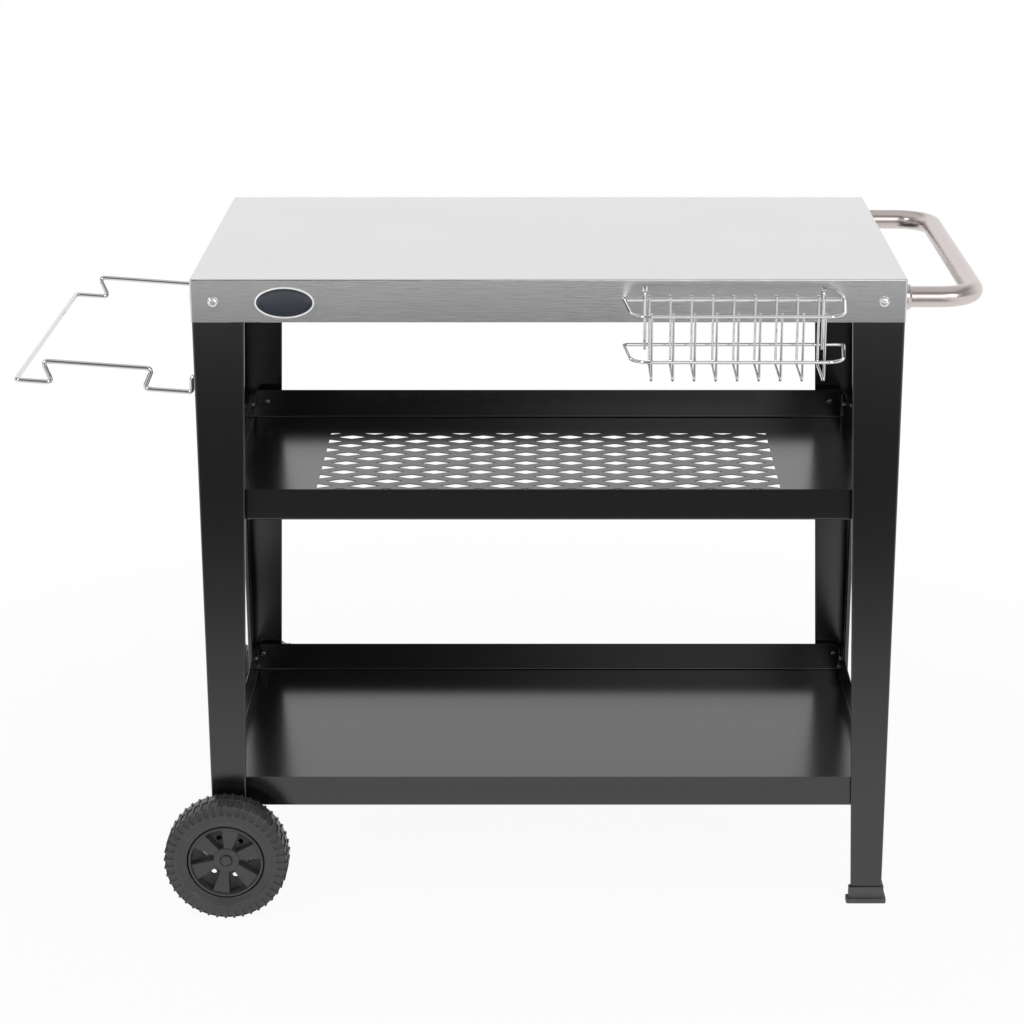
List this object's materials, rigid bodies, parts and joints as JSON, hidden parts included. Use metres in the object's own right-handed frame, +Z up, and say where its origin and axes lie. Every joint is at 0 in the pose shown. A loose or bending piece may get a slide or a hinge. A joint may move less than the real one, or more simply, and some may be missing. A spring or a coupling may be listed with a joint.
{
  "type": "kitchen cart",
  "caption": "Rolling kitchen cart with a stainless folded top, tapered angle legs, a perforated and a plain tray, side handle, wire bag holder and hanging wire basket.",
  "frame": {"origin": "on the floor, under the middle of the cart's outer box", "axes": "+X along the length, towards the handle; +Y towards the back; +Z up"},
  "size_m": [1.169, 0.6396, 0.81],
  "materials": {
    "stainless_top": "satin brushed sheet",
    "black_powder_coat": "satin powder coat",
    "foot_plastic": "moulded, matte",
    "wheel_plastic": "moulded, matte",
    "stainless_tube": "brushed tube",
    "chrome_wire": "bright plated wire",
    "zinc_screw": "bright zinc plate",
    "black_screw": "blackened screw",
    "axle_steel": "zinc-plated rod",
    "badge_rim": "white lacquered rim",
    "badge_plate": "blank dark plate"
  },
  "bodies": {
    "cart": {"tabletop": "stainless_top", "apron_screws": "zinc_screw", "apron_nuts": "zinc_screw", "badge_bezel": "badge_rim", "badge_insert": "badge_plate", "leg_front_left": "black_powder_coat", "leg_front_right": "black_powder_coat", "leg_rear_left": "black_powder_coat", "leg_rear_right": "black_powder_coat", "foot_front_right": "foot_plastic", "foot_rear_right": "foot_plastic", "middle_shelf": "black_powder_coat", "middle_shelf_spacers": "black_powder_coat", "middle_shelf_screws": "black_screw", "bottom_shelf": "black_powder_coat", "bottom_shelf_spacers": "black_powder_coat", "bottom_shelf_screws": "black_screw", "handle_tube": "stainless_tube", "handle_collars": "stainless_tube", "handle_plugs": "zinc_screw", "handle_bolts": "zinc_screw", "wheel_axle": "axle_steel", "axle_bushes": "foot_plastic", "axle_spacers": "foot_plastic", "axle_caps": "wheel_plastic"},
    "front_wheel": {"front_wheel_tyre": "wheel_plastic", "front_wheel_hub": "wheel_plastic"},
    "rear_wheel": {"rear_wheel_tyre": "wheel_plastic", "rear_wheel_hub": "wheel_plastic"},
    "bag_holder": {"bag_holder": "chrome_wire"},
    "basket": {"basket_upper_ring": "chrome_wire", "basket_lower_ring": "chrome_wire", "basket_ribs": "chrome_wire", "basket_hooks": "chrome_wire"}
  },
  "joints": [
    {"name": "front_wheel_spin", "type": "hinge", "parent": "cart", "child": "front_wheel", "pos_m": [-0.34295, -0.25895, 0.0775], "axis": [0, 1, 0], "continuous": true},
    {"name": "rear_wheel_spin", "type": "hinge", "parent": "cart", "child": "rear_wheel", "pos_m": [-0.34295, 0.29785, 0.0775], "axis": [0, 1, 0], "continuous": true},
    {"name": "bag_holder_swing", "type": "hinge", "parent": "cart", "child": "bag_holder", "pos_m": [-0.3629, 0.01945, 0.682], "axis": [0, 1, 0], "range_deg": [0, 45]},
    {"name": "basket_swing", "type": "hinge", "parent": "cart", "child": "basket", "pos_m": [0.2805, -0.23005, 0.7955], "axis": [-1, 0, 0], "range_deg": [0, 40]}
  ]
}
